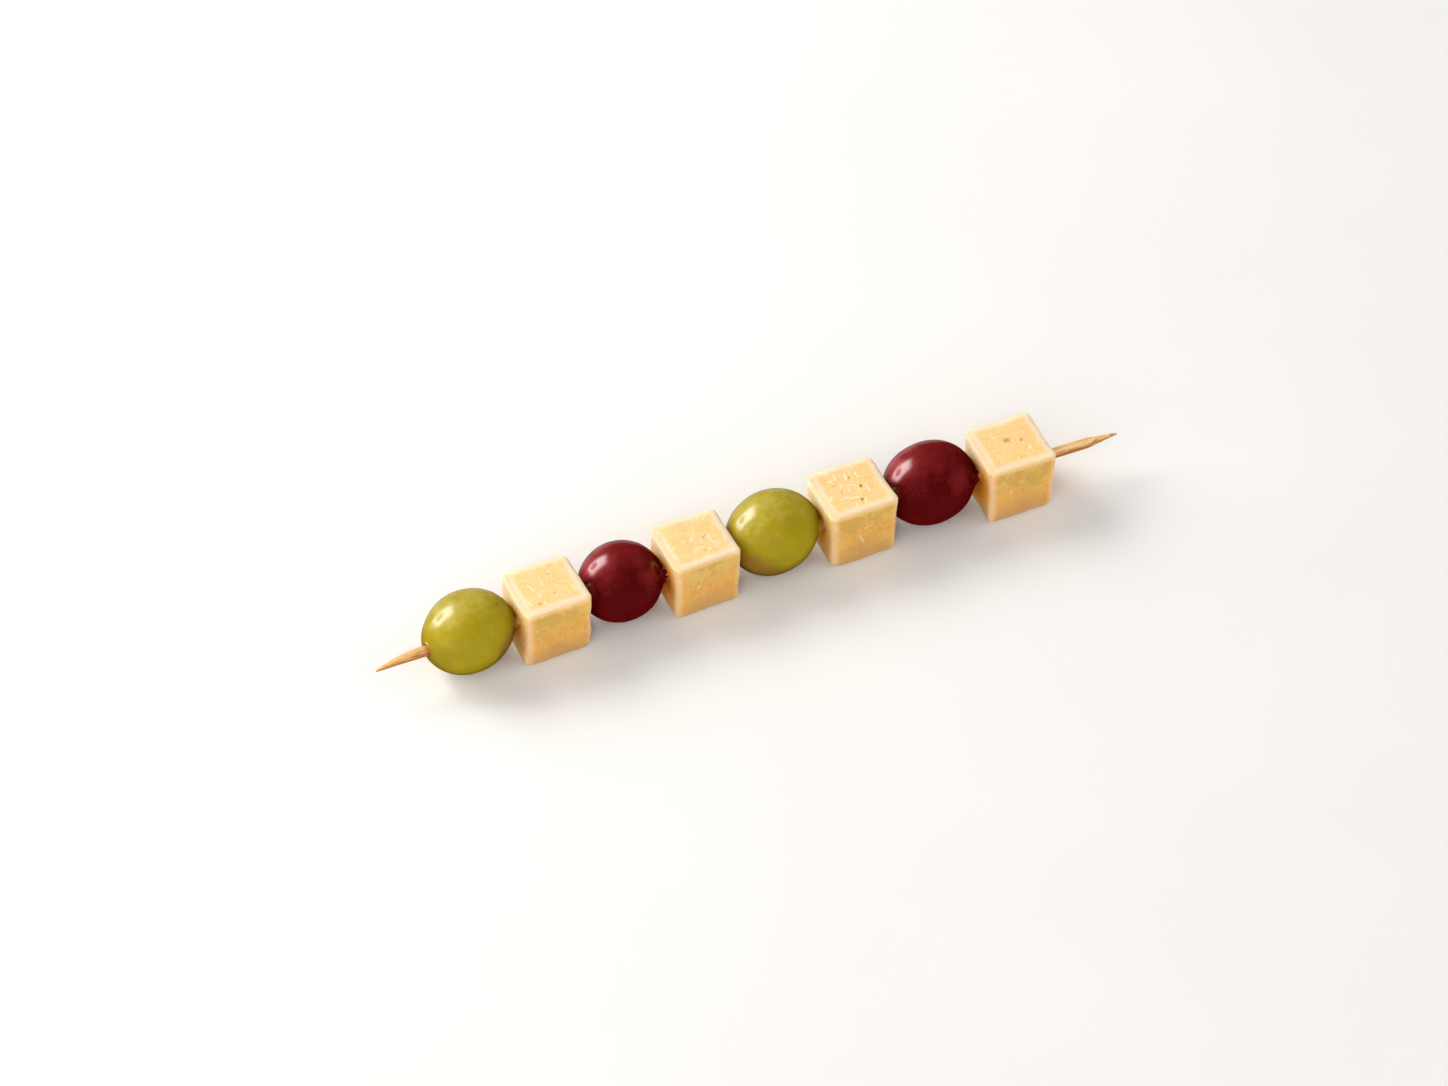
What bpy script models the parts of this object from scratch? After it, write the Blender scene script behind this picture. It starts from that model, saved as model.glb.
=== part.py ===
"""A cheese and grape skewer: four grapes and four cubes of cheese in turn on a pointed bamboo stick.

Metres, +Z up. +X runs along the stick, from its long slanting point to its short one.
The skewer lies level on the flat bottoms of its cubes, and the origin is the middle of its base.
Every piece of food is bored for the stick and keeps a small gap to it and to its neighbours.
"""

import math
from collections import namedtuple

import bmesh
import bpy
from mathutils import Euler, Vector

# Driving dimensions
STICK_LENGTH = 0.200
STICK_RADIUS = 0.00135
STICK_HEIGHT = 0.0107  # the stick's axis above the table
START_TAPER = 0.013  # the slanting point, cut from one side
END_TAPER = 0.007  # the short point, cut from all round
TIP_RADIUS = 0.00025
BARE_START = 0.0134  # stick that shows before the first grape
GAP = 0.0003  # between touching pieces, and round the stick in its holes
CUBE_EDGE_RADIUS = 0.0015
GRAPE_FULLNESS = 0.03  # how much fatter a grape is at its stalk end
TABLE_GAP = 0.0001  # the grapes just clear the table that the cubes stand on

# Facets
STICK_SIDES = 20
EDGE_SEGMENTS = 3
GRAPE_SIDES = 32
GRAPE_RINGS = 20

# A grape's half_length lies along its own axis. A cube's undercut is how far its end face
# leans in at the foot, and its skew how much shallower it is at that end. back is how far
# behind the stick a piece's middle is, turn and tip point its far end back and up.
Grape = namedtuple("Grape", "name colour half_length half_width back turn tip")
Cube = namedtuple("Cube", "name length depth height back turn undercut skew")

FOOD = [
    Grape("grape_green_1", "green_skin", 0.0119, 0.0102, 0.0022, 10.0, 7.5),
    Cube("cheese_1", 0.0177, 0.0170, 0.0179, 0.0025, 2.0, 0.0006, 0.0009),
    Grape("grape_red_1", "red_skin", 0.0108, 0.0101, 0.0031, 7.5, 5.5),
    Cube("cheese_2", 0.0178, 0.0170, 0.0176, 0.0027, 2.0, 0.0006, 0.0012),
    Grape("grape_green_2", "green_skin", 0.0121, 0.0105, 0.0032, 7.0, 6.0),
    Cube("cheese_3", 0.0182, 0.0173, 0.0180, 0.0031, 1.5, 0.0006, 0.0003),
    Grape("grape_red_2", "red_skin", 0.0121, 0.0105, 0.0032, 6.0, 5.0),
    Cube("cheese_4", 0.0181, 0.0172, 0.0179, 0.0015, 0.5, 0.0009, 0.0000),
]

# Colours are display values from 0 to 255
FINISHES = {
    "bamboo": ((226, 178, 112), 0.6),
    "green_skin": ((168, 152, 42), 0.25),
    "red_skin": ((98, 18, 20), 0.22),
    "cheese": ((248, 212, 148), 0.55),
}


def clear_scene():
    """Removes whatever the file starts with."""
    for thing in list(bpy.data.objects):
        bpy.data.objects.remove(thing)


def linear(value):
    """A display colour value from 0 to 255 as linear light from 0 to 1."""
    share = value / 255
    if share <= 0.04045:
        return share / 12.92
    return ((share + 0.055) / 1.055) ** 2.4


def make_material(name):
    """A Principled material of one finish."""
    colour, roughness = FINISHES[name]
    material = bpy.data.materials.new(name)
    material.use_nodes = True
    shader = material.node_tree.nodes["Principled BSDF"]
    shader.inputs["Base Color"].default_value = (*map(linear, colour), 1)
    shader.inputs["Roughness"].default_value = roughness
    shader.inputs["Metallic"].default_value = 0
    return material


def add_object(name, bm, material, root):
    """A named object from a bmesh, smooth but for its sharp edges, under the skewer's empty."""
    bmesh.ops.recalc_face_normals(bm, faces=bm.faces)
    mesh = bpy.data.meshes.new(name)
    bm.to_mesh(mesh)
    bm.free()
    mesh.shade_smooth()
    mesh.set_sharp_from_angle(angle=math.radians(50))
    if material:
        mesh.materials.append(material)
    thing = bpy.data.objects.new(name, mesh)
    thing.parent = root
    bpy.context.collection.objects.link(thing)
    return thing


def ring(bm, x, radius, shift):
    """A ring of points square to the stick, its middle moved by shift."""
    angles = (2 * math.pi * k / STICK_SIDES for k in range(STICK_SIDES))
    return [
        bm.verts.new((x, shift.x + radius * math.cos(a), shift.y + radius * math.sin(a)))
        for a in angles
    ]


def tube(rings_of):
    """A closed tube through (x, radius, shift) stations."""
    bm = bmesh.new()
    rings = [ring(bm, *station) for station in rings_of]
    for near, far in zip(rings, rings[1:]):
        for k in range(STICK_SIDES):
            after = (k + 1) % STICK_SIDES
            bm.faces.new((near[k], near[after], far[after], far[k]))
    bm.faces.new(rings[0])
    bm.faces.new(rings[-1])
    return bm


def make_stick(material, root):
    """A round stick. Its start is shaved from the upper back, so that point lies low in front."""
    half = STICK_LENGTH / 2
    low_front = Vector((-1, -1)).normalized() * (STICK_RADIUS - TIP_RADIUS)
    centred = Vector((0, 0))
    stations = [
        (-half, TIP_RADIUS, low_front),
        (-half + START_TAPER, STICK_RADIUS, centred),
        (half - END_TAPER, STICK_RADIUS, centred),
        (half, TIP_RADIUS, centred),
    ]
    stick = add_object("stick", tube(stations), material, root)
    stick.location.z = STICK_HEIGHT
    return stick


def make_hole_cutter(root):
    """The stick's own line, one gap wider, which bores every piece of food."""
    half = STICK_LENGTH / 2
    radius = (STICK_RADIUS + GAP) / math.cos(math.pi / STICK_SIDES)
    centred = Vector((0, 0))
    bm = tube([(-half, radius, centred), (half, radius, centred)])
    cutter = add_object("hole_cutter", bm, None, root)
    cutter.location.z = STICK_HEIGHT
    cutter.hide_render = True
    cutter.display_type = "WIRE"
    return cutter


def bore(thing, cutter):
    """Cuts the stick's hole through a piece."""
    cut = thing.modifiers.new("stick_hole", "BOOLEAN")
    cut.operation = "DIFFERENCE"
    cut.solver = "EXACT"
    cut.object = cutter


def grape_reach(grape, direction):
    """How far a grape's surface reaches from its middle along a direction, as an ellipsoid."""
    axis = Euler((0, math.radians(-grape.tip), math.radians(grape.turn))).to_matrix().col[0]
    along = axis.dot(direction)
    return math.hypot(grape.half_length * along, grape.half_width * math.sqrt(1 - along**2))


def reaches(food):
    """How far a piece reaches from its middle, back and forward along the stick at mid height."""
    if isinstance(food, Grape):
        reach = grape_reach(food, Vector((1, 0, 0)))
        return reach, reach
    return food.length / 2, (food.length - food.undercut) / 2


def make_grape(grape, x, material, root):
    """An oval grape, a little fuller towards its stalk end, turned and tipped on the stick."""
    bm = bmesh.new()
    bmesh.ops.create_uvsphere(bm, u_segments=GRAPE_SIDES, v_segments=GRAPE_RINGS, radius=1)
    for vert in bm.verts:
        width = grape.half_width * (1 - GRAPE_FULLNESS * vert.co.z)
        vert.co = (vert.co.z * grape.half_length, vert.co.x * width, vert.co.y * width)
    thing = add_object(grape.name, bm, material, root)
    thing.rotation_euler = (0, math.radians(-grape.tip), math.radians(grape.turn))
    thing.location = (x, grape.back, grape_reach(grape, Vector((0, 0, 1))) + TABLE_GAP)
    return thing


def make_cube(cube, x, material, root):
    """A hand-cut cube: flat bottom, soft edges, an end face that leans in and a skewed back."""
    bm = bmesh.new()
    bmesh.ops.create_cube(bm, size=1)
    for vert in bm.verts:
        end, far, up = (2 * part for part in vert.co)
        vert.co = (
            end * cube.length / 2 - cube.undercut * (end > 0 > up),
            far * cube.depth / 2 - cube.skew / 2 * end * (far > 0),
            (up + 1) / 2 * cube.height,
        )
    thing = add_object(cube.name, bm, material, root)
    thing.rotation_euler.z = math.radians(cube.turn)
    thing.location = (x, cube.back, 0)
    rounding = thing.modifiers.new("soft_edges", "BEVEL")
    rounding.width = CUBE_EDGE_RADIUS
    rounding.segments = EDGE_SEGMENTS
    rounding.limit_method = "NONE"
    return thing


def string_food(materials, root, cutter):
    """Threads the food on the stick in order, each piece one gap after the one before."""
    things = []
    end_of_last = -STICK_LENGTH / 2 + BARE_START - GAP
    for food in FOOD:
        behind, ahead = reaches(food)
        x = end_of_last + GAP + behind
        if isinstance(food, Grape):
            thing = make_grape(food, x, materials[food.colour], root)
        else:
            thing = make_cube(food, x, materials["cheese"], root)
        bore(thing, cutter)
        things.append(thing)
        end_of_last = x + ahead
    return things


def centre_on_origin(root, things):
    """Moves the skewer across so that its box is centred over the origin."""
    bpy.context.view_layer.update()
    across = [(thing.matrix_world @ vert.co).y for thing in things for vert in thing.data.vertices]
    root.location.y = -(min(across) + max(across)) / 2


def main():
    clear_scene()
    materials = {name: make_material(name) for name in FINISHES}
    root = bpy.data.objects.new("skewer", None)
    bpy.context.collection.objects.link(root)
    make_stick(materials["bamboo"], root)
    cutter = make_hole_cutter(root)
    things = string_food(materials, root, cutter)
    centre_on_origin(root, things)


main()
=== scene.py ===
# %% [markdown]
# # A cheese and grape skewer
# The skewer lies on a pale table: a pointed bamboo stick carries a green grape, a cube of cheese, a red
# grape, a cube, and so on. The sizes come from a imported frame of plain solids, which this lesson
# dresses: every solid is replaced by a finer surface of the same size with a worked-out finish.

# %% Load the frame
import math

import bmesh
import bpy
import numpy as np
from mathutils import Euler, Matrix, Vector


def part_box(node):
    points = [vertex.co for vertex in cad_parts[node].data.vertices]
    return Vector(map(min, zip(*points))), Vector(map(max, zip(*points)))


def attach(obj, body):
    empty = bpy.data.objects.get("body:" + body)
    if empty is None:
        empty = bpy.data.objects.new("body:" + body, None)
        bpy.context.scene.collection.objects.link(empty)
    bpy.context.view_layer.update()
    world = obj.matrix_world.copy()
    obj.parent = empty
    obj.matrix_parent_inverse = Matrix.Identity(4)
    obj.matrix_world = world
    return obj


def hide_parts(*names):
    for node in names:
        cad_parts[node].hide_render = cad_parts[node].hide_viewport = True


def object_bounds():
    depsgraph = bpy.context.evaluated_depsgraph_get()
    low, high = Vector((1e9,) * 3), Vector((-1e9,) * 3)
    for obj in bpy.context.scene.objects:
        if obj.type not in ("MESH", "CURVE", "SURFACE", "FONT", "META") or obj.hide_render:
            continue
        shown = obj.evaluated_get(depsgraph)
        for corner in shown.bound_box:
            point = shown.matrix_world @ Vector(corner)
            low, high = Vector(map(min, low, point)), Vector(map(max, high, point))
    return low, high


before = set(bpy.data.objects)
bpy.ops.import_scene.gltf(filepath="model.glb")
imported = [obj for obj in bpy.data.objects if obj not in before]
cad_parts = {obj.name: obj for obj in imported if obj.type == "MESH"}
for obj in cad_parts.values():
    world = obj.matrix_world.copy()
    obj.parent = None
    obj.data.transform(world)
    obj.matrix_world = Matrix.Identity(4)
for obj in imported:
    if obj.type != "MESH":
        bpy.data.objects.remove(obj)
cad_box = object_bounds()
MM = 0.001
print("nodes:", ", ".join(sorted(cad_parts)))

# %% [markdown]
# ## Where each piece is
# Middles and sizes come from those corners, so nothing here repeats a length that the frame already
# knows. Only the small chance differences between pieces, such as how far a grape is turned on the
# stick, are named again.

# %% Places
def middle_and_size(node):
    """The middle and the full size of a solid's box, as arrays in metres."""
    low, high = (np.array(corner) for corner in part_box(node))
    return (low + high) / 2, high - low


stick_low, stick_high = (np.array(corner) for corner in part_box("stick"))
STICK_RADIUS = (stick_high[2] - stick_low[2]) / 2
AXIS_Y = stick_high[1] - STICK_RADIUS
AXIS_Z = stick_high[2] - STICK_RADIUS
AXIS = np.array([AXIS_Y, AXIS_Z])
HOLE_GAP = 0.08 * MM  # a little more than the ridges on the stick stand up
HOLE_RADIUS = STICK_RADIUS + HOLE_GAP
ORDER = ["grape_green_1", "cheese_1", "grape_red_1", "cheese_2",
         "grape_green_2", "cheese_3", "grape_red_2", "cheese_4"]
print(f"stick: {2 * STICK_RADIUS / MM:.2f} mm thick, axis {AXIS_Z / MM:.1f} mm above the table")

# %% [markdown]
# ## Small tools for finishes
# A finish is a tree of shader nodes. `Value` wraps one socket so that sums on masks read like sums on
# numbers, and `Nodes.add` makes every other node. Colours are mixed by Mix nodes, which keep all three
# channels. Patterns read Object coordinates, in metres, so they sit still on the piece.

# %% Shader sums
class Value:
    """A shader socket used as a number: each operator adds one Math node."""

    def __init__(self, nodes, socket):
        self.nodes = nodes
        self.socket = socket

    def sum(self, operation, *others):
        parts = dict(enumerate(others))
        return self.nodes.add("ShaderNodeMath", {"operation": operation}, parts)

    def __add__(self, other):
        return self.sum("ADD", self, other)

    def __sub__(self, other):
        return self.sum("SUBTRACT", self, other)

    def __rsub__(self, other):
        return self.sum("SUBTRACT", other, self)

    def __mul__(self, other):
        return self.sum("MULTIPLY", self, other)

    def __abs__(self):
        return self.sum("ABSOLUTE", self)

    __radd__ = __add__
    __rmul__ = __mul__

    def rise(self, low, high):
        """0 below low, 1 above high and an S-shaped rise between them."""
        ends = {"Value": self, "From Min": low, "From Max": high}
        return self.nodes.add("ShaderNodeMapRange", {"interpolation_type": "SMOOTHSTEP"}, ends)


class Nodes:
    """A tree of shader nodes, with one method that makes any node."""

    def __init__(self, tree):
        self.tree = tree

    def add(self, kind, settings=None, sockets=None, out=0):
        """A node of a kind: its settings are set first, then each socket's value or link."""
        node = self.tree.nodes.new(kind)
        for name, setting in (settings or {}).items():
            setattr(node, name, setting)
        for key, value in (sockets or {}).items():
            self.feed(node.inputs[key], value)
        return Value(self, node.outputs[out])

    def feed(self, socket, value):
        """Links a Value to a socket, or sets the socket to a plain value."""
        if isinstance(value, Value):
            self.tree.links.new(value.socket, socket)
        else:
            socket.default_value = value


class Finish(Nodes):
    """One material: a Principled shader and the nodes that feed it."""

    def __init__(self, name, **constants):
        self.material = bpy.data.materials.new(name)
        self.material.use_nodes = True
        super().__init__(self.material.node_tree)
        self.shader = self.tree.nodes["Principled BSDF"]
        for socket, value in constants.items():
            self.shader.inputs[socket.replace("_", " ")].default_value = value
        self.here = self.add("ShaderNodeTexCoord", out="Object")
        self.base = None

    def stretched(self, scale, shift=(0, 0, 0)):
        """The piece's own coordinates, moved and multiplied."""
        return self.add("ShaderNodeMapping", None, {"Vector": self.here, "Scale": scale, "Location": shift})

    def noise(self, size, detail=2.0, roughness=0.5, where=None):
        """Cloudy noise whose spots are about size across, in metres."""
        return self.add("ShaderNodeTexNoise", None, {
            "Vector": where or self.here, "Scale": 1 / size, "Detail": detail, "Roughness": roughness})

    def spots(self, size, where=None, out="Distance"):
        """The distance to the nearest of many scattered points, in shares of their spacing.

        With out="Color" it is a chance value that belongs to that point.
        """
        sockets = {"Vector": where or self.here, "Scale": 1 / size}
        return self.add("ShaderNodeTexVoronoi", None, sockets, out)

    def flecks(self, spacing, length, tilt, share):
        """Short bent strokes that lie mostly along y and z: spots in a turned, drawn-out, wavy space.

        share is how many of the spots are kept, from 0 to 1.
        """
        wave_size, amount = 1.6 * MM, 0.9 * MM
        wave = self.add("ShaderNodeTexNoise", None, {"Vector": self.here, "Scale": 1 / wave_size}, "Color")
        bent = self.add("ShaderNodeVectorMath", {"operation": "MULTIPLY_ADD"}, {
            0: wave, 1: (amount, amount, amount), 2: self.here})
        where = self.add("ShaderNodeMapping", None, {
            "Vector": bent, "Rotation": (0.3, 0.2, tilt), "Scale": (1, 1 / length, 1 / length)})
        near = 1 - self.spots(spacing, where).rise(0.12, 0.27)
        chance = self.spots(spacing, where, "Color")
        return near * (chance + 0.5 * share).rise(0.78, 0.82)

    def mark(self, name):
        """A value that was kept on the mesh for each point."""
        return self.add("ShaderNodeAttribute", {"attribute_name": name}, out="Fac")

    def mix(self, share, first, second):
        """The first colour where share is 0 and the second where it is 1."""
        return self.add("ShaderNodeMix", {"data_type": "RGBA"}, {0: share, 6: first, 7: second}, out=2)

    def tint(self, share, *shade):
        """Lays a display colour over the base colour so far, where share is 1."""
        self.base = self.mix(share, self.base, colour(*shade))

    def bump(self, height, depth):
        """Feeds the shader's Normal with a relief of that depth in metres."""
        bumped = self.add("ShaderNodeBump", None, {"Height": height, "Distance": depth})
        self.feed(self.shader.inputs["Normal"], bumped)

    def set(self, **sockets):
        """Feeds the shader's sockets by name."""
        for name, value in sockets.items():
            self.feed(self.shader.inputs[name.replace("_", " ")], value)


def colour(red, green, blue):
    """A display colour from 0 to 255 as the linear colour that shaders take."""
    shares = np.array([red, green, blue]) / 255
    linear = np.where(shares <= 0.04045, shares / 12.92, ((shares + 0.055) / 1.055) ** 2.4)
    return (*linear.tolist(), 1.0)


# %% [markdown]
# ## Camera
# A long lens from well back keeps the cubes' edges nearly parallel. The camera looks down by about half
# a right angle from the front left, so a cube shows its top, its front and a narrow strip of its start.

# %% Camera
CAMERA_AZIMUTH, CAMERA_ELEVATION, CAMERA_ROLL = -23.27, 47.8, 0.23  # degrees
CAMERA_DISTANCE = 1.537
CAMERA_LENS = 154.15
CAMERA_NEAR_LIMIT = 0.05
AIM_SHIFT = Vector((-0.0057, 0.0016, 0.0))
UPRIGHT = Vector((0, 0, 1))


def add_object(name, data):
    """Puts an object with that camera, light or mesh into the scene."""
    thing = bpy.data.objects.new(name, data)
    bpy.context.scene.collection.objects.link(thing)
    return thing


def direction(azimuth, elevation):
    """The unit vector towards a point that many degrees round from the front and that many up."""
    around, up = math.radians(azimuth), math.radians(elevation)
    flat = math.cos(up)
    return Vector((math.sin(around) * flat, -math.cos(around) * flat, math.sin(up)))


def facing(towards, up):
    """A turn whose Z axis points along towards and whose Y axis is as near to up as it can be."""
    back = towards.normalized()
    right = up.cross(back).normalized()
    return Matrix((right, back.cross(right), back)).transposed()


aim = (Vector(cad_box[0]) + Vector(cad_box[1])) / 2 + AIM_SHIFT
camera_back = direction(CAMERA_AZIMUTH, CAMERA_ELEVATION)
camera = add_object("camera", bpy.data.cameras.new("camera"))
camera.data.lens = CAMERA_LENS
camera.data.clip_start = CAMERA_NEAR_LIMIT
turn = facing(camera_back, UPRIGHT) @ Matrix.Rotation(math.radians(CAMERA_ROLL), 3, "Z")
camera.matrix_world = Matrix.LocRotScale(aim + CAMERA_DISTANCE * camera_back, turn, None)
bpy.context.scene.camera = camera
print("camera aims at", [round(v / MM, 1) for v in aim], "mm")

# %% [markdown]
# ## Light
# One long soft box stands low behind the skewer on the left. It brightens the tops and draws one slanting
# highlight on each grape; its middle is a little dimmer than its rim and its borders fade, as on a lamp
# behind cloth. Four panels at the front fill the shade between the pieces, and a soft sky does the rest.
# Panels, sky, table and cubes are kept out of reflections, which leaves the skins their deep colours.
# Only the part of the table behind the skewer shines in them, as a pale rim: a panel stands for it.

# %% Lights
KEY_DIRECTION = Vector((-0.584, 0.668, 0.50))
KEY_LONG_WAY = Vector((0.55, 0.10, 0.64))
KEY_DISTANCE = 0.95
KEY_SIZE = (0.84, 0.96)
KEY_POWER = 14.2
KEY_COLOUR = (1.0, 0.972, 0.93)
KEY_BORDER = (0.34, 0.28)
KEY_CORE = (0.42, 0.38, 0.24, 0.19)  # the dim oval's middle and half sizes, as shares of the panel
KEY_CORE_EDGE = (0.3, 1.0)
KEY_DIMMING = 0.85
KEY_GAIN = 1.85  # makes up for the light that the fading takes away
FILL_DISTANCE = 1.7
FILL_COLOUR = (1.0, 0.985, 0.96)

# For each fill panel: where it stands, its power in watts and its two sides in metres.
FILLS = {
    "front_fill": (direction(-40, 32), 10.2, (1.6, 1.4)),
    "side_fill": (direction(70, 20), 12.5, (1.6, 1.4)),
    "low_fill": (direction(-74, 10), 6.6, (1.6, 1.4)),
    "lens_fill": (camera_back, 2.0, (0.6, 0.6)),
}
GLOW_DIRECTION = Vector((0.14, 0.90, -0.36))
GLOW_DISTANCE = 1.0
GLOW_SIZE = (0.9, 0.6)
GLOW_POWER = 0.55
SKY_STRENGTH = 0.32
SKY_COLOUR = (1.0, 0.985, 0.965, 1)


def soft_box(name, towards, long_way, distance, size, power, colour):
    """A rectangular area light that faces the skewer, its second side along long_way."""
    data = bpy.data.lights.new(name, "AREA")
    data.shape = "RECTANGLE"
    data.size, data.size_y = size
    data.energy = power
    data.color = colour
    light = add_object(name, data)
    light.matrix_world = Matrix.LocRotScale(
        aim + distance * towards.normalized(), facing(towards, long_way), None)
    return light


def fade_soft_box(light, border, core, dimming):
    """Fades a soft box towards its borders and dims an oval core.

    u and v run from 0 to 1 over the panel. strength = rise of u and v from each border, times
    1 - dimming x (1 - rise of the oval distance to the core).
    """
    light.data.use_nodes = True
    nodes = Nodes(light.data.node_tree)
    place_on = nodes.add("ShaderNodeNewGeometry", out="Parametric")
    u = nodes.add("ShaderNodeSeparateXYZ", None, {0: place_on}, out=0)
    v = nodes.add("ShaderNodeSeparateXYZ", None, {0: place_on}, out=1)
    fade = (0.5 - abs(u - 0.5)).rise(0, border[0]) * (0.5 - abs(v - 0.5)).rise(0, border[1])
    across, along = (u - core[0]) * (1 / core[2]), (v - core[1]) * (1 / core[3])
    dim = 1 - dimming * (1 - (across * across + along * along).rise(*KEY_CORE_EDGE))
    emission = nodes.tree.nodes["Emission"]
    nodes.feed(emission.inputs["Strength"], fade * dim * KEY_GAIN)


key = soft_box("key_soft_box", KEY_DIRECTION, KEY_LONG_WAY, KEY_DISTANCE, KEY_SIZE, KEY_POWER, KEY_COLOUR)
fade_soft_box(key, KEY_BORDER, KEY_CORE, KEY_DIMMING)
for name, (towards, power, size) in FILLS.items():
    fill = soft_box(name, towards, UPRIGHT, FILL_DISTANCE, size, power, FILL_COLOUR)
    fill.visible_glossy = False
glow = soft_box("far_table_glow", GLOW_DIRECTION, UPRIGHT, GLOW_DISTANCE, GLOW_SIZE, GLOW_POWER, KEY_COLOUR)
glow.visible_diffuse = False
world = bpy.data.worlds.new("soft_sky")
world.use_nodes = True
sky = world.node_tree.nodes["Background"]
sky.inputs["Color"].default_value = SKY_COLOUR
sky.inputs["Strength"].default_value = SKY_STRENGTH
world.cycles_visibility.glossy = False
bpy.context.scene.world = world
bpy.context.scene.view_settings.view_transform = "Standard"
print("a key soft box, four fill panels, a glow from the far table and a soft sky")

# %% [markdown]
# ## The table
# A plain pale sheet, far larger than the skewer, with the faintest mottling so that it isn't dead flat.

# %% Table
TABLE_HALF = 3.0
TABLE_CLOUD = 0.08


def make_table():
    """Makes four corners at the level that the cubes stand on, with a matt pale finish."""
    mesh = bpy.data.meshes.new("table")
    h = TABLE_HALF
    mesh.from_pydata([(-h, -h, 0), (h, -h, 0), (h, h, 0), (-h, h, 0)], [], [(0, 1, 2, 3)])
    table = add_object("table", mesh)
    finish = Finish("pale_table", Roughness=0.9, Specular_IOR_Level=0.1)
    cloud = finish.noise(TABLE_CLOUD)
    finish.set(Base_Color=finish.mix(cloud, colour(238, 237, 236), colour(244, 243, 242)))
    mesh.materials.append(finish.material)
    table.visible_glossy = False
    table.visible_shadow = False


make_table()

# %% [markdown]
# ## Small tools for surfaces
# Every new piece is one grid of points: rows run one way over the surface and columns the other. A piece
# with a hole right through it is a grid that closes both ways, like the skin of a ring, so it has no
# loose edge anywhere. Chance shapes come from sums of plane waves, worked out for all points at once.

# %% Grids and waves
WELD_DISTANCE = 1e-7


def smooth(value, low, high):
    """0 below low, 1 above high and an S-shaped rise between them."""
    share = np.clip((value - low) / (high - low), 0, 1)
    return share * share * (3 - 2 * share)


def grid_of(x, y, z):
    """Points from their coordinates, each spread over the whole grid."""
    return np.stack(np.broadcast_arrays(x, y, z), -1)


def length(vectors, keep=False):
    """The length of each vector in an array; keep holds its axis, so that the array can be divided by it."""
    return np.linalg.norm(vectors, axis=-1, keepdims=keep)


def crowded(count, crowding):
    """Shares from 0 to 1 that crowd together near both ends: s - crowding x sin(2 pi s) / 2 pi."""
    share = np.linspace(0, 1, count)
    return share - crowding * np.sin(2 * math.pi * share) / (2 * math.pi)


def waves(points, size, seed, count=28):
    """A smooth chance field of about -1 to 1 whose bumps are size across.

    It is the sum of sines of plane waves: each wave runs in a random direction with a length near size.
    """
    rng = np.random.default_rng(seed)
    ways = rng.normal(size=(count, 3))
    ways /= length(ways, True)
    lengths = size * rng.uniform(1.4, 2.6, count)
    phases = rng.uniform(0, 2 * math.pi, count)
    return np.sin(points @ (2 * math.pi * ways / lengths[:, None]).T + phases).sum(-1) / math.sqrt(count)


def layered_waves(points, layers, seed):
    """The sum of several chance fields, each given as its height, its size in mm and its step in seed."""
    return sum(height * waves(points, size * MM, seed + step) for height, size, step in layers)


def weld(mesh):
    """Joins points that lie on top of each other, so that a tip is one point and its squares triangles."""
    skin = bmesh.new()
    skin.from_mesh(mesh)
    bmesh.ops.remove_doubles(skin, verts=skin.verts, dist=WELD_DISTANCE)
    skin.to_mesh(mesh)
    skin.free()


def grid_piece(name, points, marks=None, closed_rows=True):
    """A mesh object from an array of points [row, column]. Columns close round, and rows may too.

    Each square of four neighbours is a face: its corners are the flat numbers of point (r, c), its
    right-hand neighbour, the one across and the one above. marks are values kept for the finish.
    """
    rows, columns, _ = points.shape
    last = rows if closed_rows else rows - 1
    r, c = np.meshgrid(np.arange(last), np.arange(columns), indexing="ij")
    up, along = (r + 1) % rows, (c + 1) % columns
    corners = np.stack([r * columns + c, r * columns + along, up * columns + along, up * columns + c], -1)
    corners = corners.reshape(-1, 4)
    mesh = bpy.data.meshes.new(name)
    mesh.vertices.add(rows * columns)
    mesh.vertices.foreach_set("co", points.astype(np.float32).ravel())
    mesh.loops.add(corners.size)
    mesh.loops.foreach_set("vertex_index", corners.astype(np.int32).ravel())
    mesh.polygons.add(len(corners))
    mesh.polygons.foreach_set("loop_start", np.arange(0, corners.size, 4, dtype=np.int32))
    mesh.update(calc_edges=True)
    mesh.validate()
    mesh.shade_smooth()
    for mark, values in (marks or {}).items():
        layer = mesh.attributes.new(mark, "FLOAT", "POINT")
        layer.data.foreach_set("value", np.broadcast_to(values, (rows, columns)).astype(np.float32).ravel())
    weld(mesh)
    return add_object(name, mesh)


def place(piece, node, material):
    """Gives a piece its finish and lets it stand for its solid in the frame."""
    piece.data.materials.append(material)
    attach(piece, "root")
    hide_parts(node)
    print(f"{piece.name}: {len(piece.data.polygons)} faces")


# %% [markdown]
# ## The stick
# Bamboo is split, pulled through a round die and cut to a point. It could be a cylinder with a cone at
# each end, but the start is shaved from one side, so its point lies low at the front. The surface is a
# ring carried along the stick: its radius shrinks to the tip while its middle drifts down, and fine
# ridges along the fibres keep it from looking turned.

# %% Stick shape
START_TAPER = 13 * MM
END_TAPER = 8.4 * MM
TIP_RADIUS = 0.22 * MM
STICK_COLUMNS = 96
START_ROWS, BODY_ROWS, END_ROWS = 50, 190, 34
RIDGES = [(0.012, 0.25, 0), (0.02, 0.9, 1)]
RIDGE_SEED = 3


def taper(x):
    """How much of the full radius is left at x: a bulging point at the start and a straight one at the end.

    s runs from 0 at the tip to 1 where the point ends; the start keeps sin(90 degrees x s) ^ 0.85.
    """
    half = stick_high[0]
    blunt = TIP_RADIUS / STICK_RADIUS
    start = np.sin(np.clip((x + half) / START_TAPER, 0, 1) * math.pi / 2) ** 0.85
    end = np.clip((half - x) / END_TAPER, 0, 1)
    return blunt + (1 - blunt) * np.minimum(start, end)


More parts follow.
